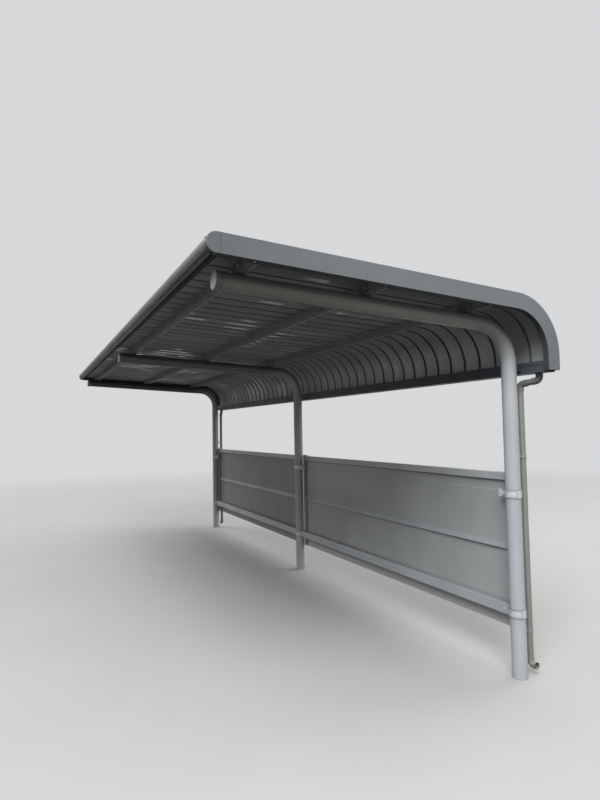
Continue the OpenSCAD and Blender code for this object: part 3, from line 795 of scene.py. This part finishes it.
def trim_screws():
    """Flanges of the gable trims: black heads beside the front edge, on the nose and below it,
    and bright screws up into the purlins."""
    heads, plugs = bmesh.new(), bmesh.new()
    for side in (-1, 1):
        x = side * (ROOF_END - TRIM_FLANGE + TRIM_SCREW_IN)
        for turn, height in NOSE_HEADS:
            spot = on_slope(x, NOSE_Y + NOSE_R * math.cos(turn), NOSE_Z + NOSE_R * math.sin(turn))
            out = slope_dir(0, -math.cos(turn), math.sin(turn))
            revolve(plugs, pan_head(r=0.0058, h=height), pose(spot, out))
        for p in PURLINS:
            spot = on_slope(x, p, NOSE_Z - NOSE_R)
            revolve(heads, pan_head(r=0.0045, h=0.0026), pose(spot, slope_dir(0, 0, -1)), 20)
    finish_piece("trim_screws", heads, "bolt")
    finish_piece("trim_plugs", plugs, "rubber")


# Ring clips: half width of the web between the rings, and its screws in front of the downpipe
CLIP_WEB_HALF = 0.009
CLIP_SCREW_GAP = 0.010


def clip_screws():
    """A screw on each side of the web that joins the two rings of a clip."""
    heads = bmesh.new()
    for post_side in (-1, 1):
        for z in CLIP_Z:
            for side in (-1, 1):
                web_x = post_side * BAY + side * CLIP_WEB_HALF
                spot = (web_x, DOWNPIPE_Y - DOWNPIPE_R - CLIP_SCREW_GAP, z + CLIP_H / 2)
                revolve(heads, pan_head(r=0.0042, h=0.0026), pose(spot, (side, 0, 0)), 20)
    finish_piece("clip_screws", heads, "bolt")


# Soft pieces


def strip(bm, section, x0, x1, step, wobble):
    """A soft strip along X on the slope: section of (along, height), whose lower points rise and
    fall slightly along the run."""
    rings = []
    count = max(2, round(abs(x1 - x0) / step))
    top = section[0][1]
    for i in range(count + 1):
        x = x0 + (x1 - x0) * i / count
        sag = wobble * (math.sin(x * 23.0) + 0.6 * math.sin(x * 57.0 + 1.0))
        points = [(a, h + sag if h < top else h) for a, h in section]
        rings.append([bm.verts.new(on_slope(x, a, h)) for a, h in points])
    for a, b in zip(rings, rings[1:]):
        for i in range(len(section)):
            j = (i + 1) % len(section)
            bm.faces.new((a[i], a[j], b[j], b[i]))
    bm.faces.new(rings[0])
    bm.faces.new(rings[-1][::-1])


# Closure foam: how far its edges are behind the middle of the nose, its height, its easing as
# width and height at the bottom and lean of the sides, and the gap at its ends
FOAM_BACK = 0.0470
FOAM_FRONT = 0.0195
FOAM_H = 0.0068
FOAM_EASE = (0.0020, 0.0018)
FOAM_LEAN = 0.0005
FOAM_GAP = 0.001


def closure_foam_and_shade():
    """Closure foam under the shelf of the front edge, in one strip for each bay, as black as the
    painted shade it also stands for there.
    """
    foam = bmesh.new()
    back, front, bottom = NOSE_Y - FOAM_BACK, NOSE_Y - FOAM_FRONT, SHELF - FOAM_H
    ease, rise = FOAM_EASE
    section = [(back + FOAM_LEAN, SHELF), (front - FOAM_LEAN, SHELF), (front, bottom + rise),
               (front - ease, bottom), (back + ease, bottom), (back, bottom + rise)]
    for side in (-1, 1):
        outer = side * (ROOF_END - TRIM_FLANGE - FOAM_GAP)
        strip(foam, section, side * FOAM_GAP, outer, step=0.03, wobble=0.0004)
    finish_piece("closure_foam_and_shade", foam, "foam")


# Panel seals: width, gap at the corners, and depth in front of and behind the sheets
SEAL_W = 0.005
SEAL_GAP = 0.0002
SEAL_FRONT = (0.0478, 0.0518)
SEAL_BACK = (0.0524, 0.0588)


def seal_bar(bm, low, high):
    """A straight seal with eased edges between two corner points."""
    made = bmesh.ops.create_cube(bm, size=1.0)["verts"]
    middle = [(a + b) / 2 for a, b in zip(low, high)]
    for v in made:
        v.co = Vector(m + c * (b - a) for m, c, a, b in zip(middle, v.co, low, high))
    edges = list({e for v in made for e in v.link_edges})
    bmesh.ops.bevel(bm, geom=edges, offset=0.0005, segments=2, profile=0.5, affect="EDGES")


def panel_seals():
    """Dark seals in the corners between the panel sheets and their frames, front and back. The
    foot of the upper sheet has one at the back only."""
    seals = bmesh.new()
    for side in (-1, 1):
        x0, x1 = sorted(side * x for x in SHEET_X)
        inner0, inner1 = x0 + SEAL_W + SEAL_GAP, x1 - SEAL_W - SEAL_GAP
        for y0, y1 in (SEAL_FRONT, SEAL_BACK):
            for z0, z1 in (UPPER_SHEET_Z, LOWER_SHEET_Z):
                seal_bar(seals, (x0, y0, z0), (x0 + SEAL_W, y1, z1))
                seal_bar(seals, (x1 - SEAL_W, y0, z0), (x1, y1, z1))
                seal_bar(seals, (inner0, y0, z1 - SEAL_W), (inner1, y1, z1))
        foot = UPPER_SHEET_Z[0]
        seal_bar(seals, (inner0, SEAL_BACK[0], foot), (inner1, SEAL_BACK[1], foot + SEAL_W))
    finish_piece("panel_seals", seals, "rubber")


clamp_screws()
cleat_bolts()
roof_screws()
closure_foam_and_shade()
trim_screws()
panel_seals()
clip_screws()

# Floor and light

# Floor: radius, how far it lies below the feet of the posts, its tones as it is seen and as it
# lights the shelter, and where it starts and ends to fade into the backdrop
FLOOR_R = 60.0
FLOOR_DROP = 0.001
FLOOR_TONES = ((0.452, 0.452, 0.447, 1.0), (0.468, 0.468, 0.463, 1.0))
FLOOR_BOUNCE = (0.06, 0.06, 0.059, 1.0)
FADE_START = 5.0
FADE_END = 16.0

# World: the backdrop as it is seen, and the light from the horizon and from straight above
BACKDROP = (0.68, 0.69, 0.70, 1.0)
HORIZON_LIGHT = 0.16
ZENITH_LIGHT = 1.20


def seen(tree):
    """1 on rays that show a surface to the camera, a gloss or glass, 0 on rays that carry light."""
    path = tree.nodes.new("ShaderNodeLightPath").outputs
    total = path["Is Camera Ray"]
    for name in ("Is Glossy Ray", "Is Transmission Ray"):
        add = tree.nodes.new("ShaderNodeMath")
        add.use_clamp = True
        tree.links.new(total, add.inputs[0])
        tree.links.new(path[name], add.inputs[1])
        total = add.outputs[0]
    return total


def floor_pale():
    """A pale floor that sends little light up and fades into the backdrop far away."""
    n = Net("floor_pale")
    pale = n.mix(n.span(n.noise(0.8, 5.0), 0.3, 0.7), *FLOOR_TONES)
    tone = n.mix(seen(n.tree), FLOOR_BOUNCE, pale)
    normal = n.bump(n.noise(120.0, 3.0), 0.0008, 0.3)
    n.shader(Base_Color=tone, Roughness=0.85, Specular_IOR_Level=0.2, Normal=normal)
    glow = n.node("ShaderNodeEmission")
    glow.inputs["Color"].default_value = BACKDROP
    fade = n.node("ShaderNodeMixShader")
    far = n.span(n.length(n.x, n.y), FADE_START, FADE_END)
    n.put(fade.inputs[0], n.mul(far, seen(n.tree)))
    n.link(n.bsdf.outputs[0], fade.inputs[1])
    n.link(glow.outputs[0], fade.inputs[2])
    n.link(fade.outputs[0], n.tree.nodes["Material Output"].inputs["Surface"])
    return n.mat


def round_floor():
    """A wide disc, just low enough not to share a face with the feet of the posts."""
    mesh = bpy.data.meshes.new("floor")
    bm = bmesh.new()
    bmesh.ops.create_circle(bm, cap_ends=True, segments=96, radius=FLOOR_R)
    bm.to_mesh(mesh)
    bm.free()
    mesh.materials.append(floor_pale())
    obj = bpy.data.objects.new("floor", mesh)
    obj.location.z = -FLOOR_DROP
    bpy.context.scene.collection.objects.link(obj)
    return obj


def studio_world():
    """A soft dome, brighter above, that shows itself as an even backdrop."""
    world = bpy.data.worlds.new("studio")
    world.use_nodes = True
    tree = world.node_tree
    background = tree.nodes["Background"]
    direction = tree.nodes.new("ShaderNodeSeparateXYZ")
    tree.links.new(tree.nodes.new("ShaderNodeTexCoord").outputs["Generated"], direction.inputs[0])
    dome = tree.nodes.new("ShaderNodeMapRange")
    tree.links.new(direction.outputs[2], dome.inputs["Value"])
    dome.inputs["To Min"].default_value = HORIZON_LIGHT
    dome.inputs["To Max"].default_value = ZENITH_LIGHT
    both = tree.nodes.new("ShaderNodeMix")
    both.data_type = "RGBA"
    tree.links.new(seen(tree), both.inputs[0])
    tree.links.new(dome.outputs[0], both.inputs[6])
    both.inputs[7].default_value = BACKDROP
    tree.links.new(both.outputs[2], background.inputs["Color"])
    background.inputs["Strength"].default_value = 1.0
    return world


def area(name, place, target, size, watts, colour=(1, 1, 1)):
    """A rectangular lamp at place that points at target."""
    data = bpy.data.lights.new(name, "AREA")
    data.shape = "RECTANGLE"
    data.size, data.size_y = size
    data.energy = watts
    data.color = colour
    obj = bpy.data.objects.new(name, data)
    obj.location = place
    obj.rotation_euler = (Vector(target) - Vector(place)).to_track_quat("-Z", "Y").to_euler()
    bpy.context.scene.collection.objects.link(obj)


floor = round_floor()
bpy.context.scene.world = studio_world()
area("key", place=(8.5, -5.5, 9.5), target=(0.5, 0.0, 1.0), size=(7.0, 6.0), watts=1250,
     colour=(1.0, 0.995, 0.98))
area("fill", place=(-9.0, -5.0, 9.0), target=(-1.0, 0.0, 1.0), size=(6.0, 5.0), watts=240,
     colour=(0.97, 0.98, 1.0))
area("rim", place=(1.0, 10.0, 8.0), target=(0.0, 0.0, 1.0), size=(8.0, 5.0), watts=420)

scene = bpy.context.scene
scene.view_settings.view_transform = "Standard"
scene.view_settings.look = "None"
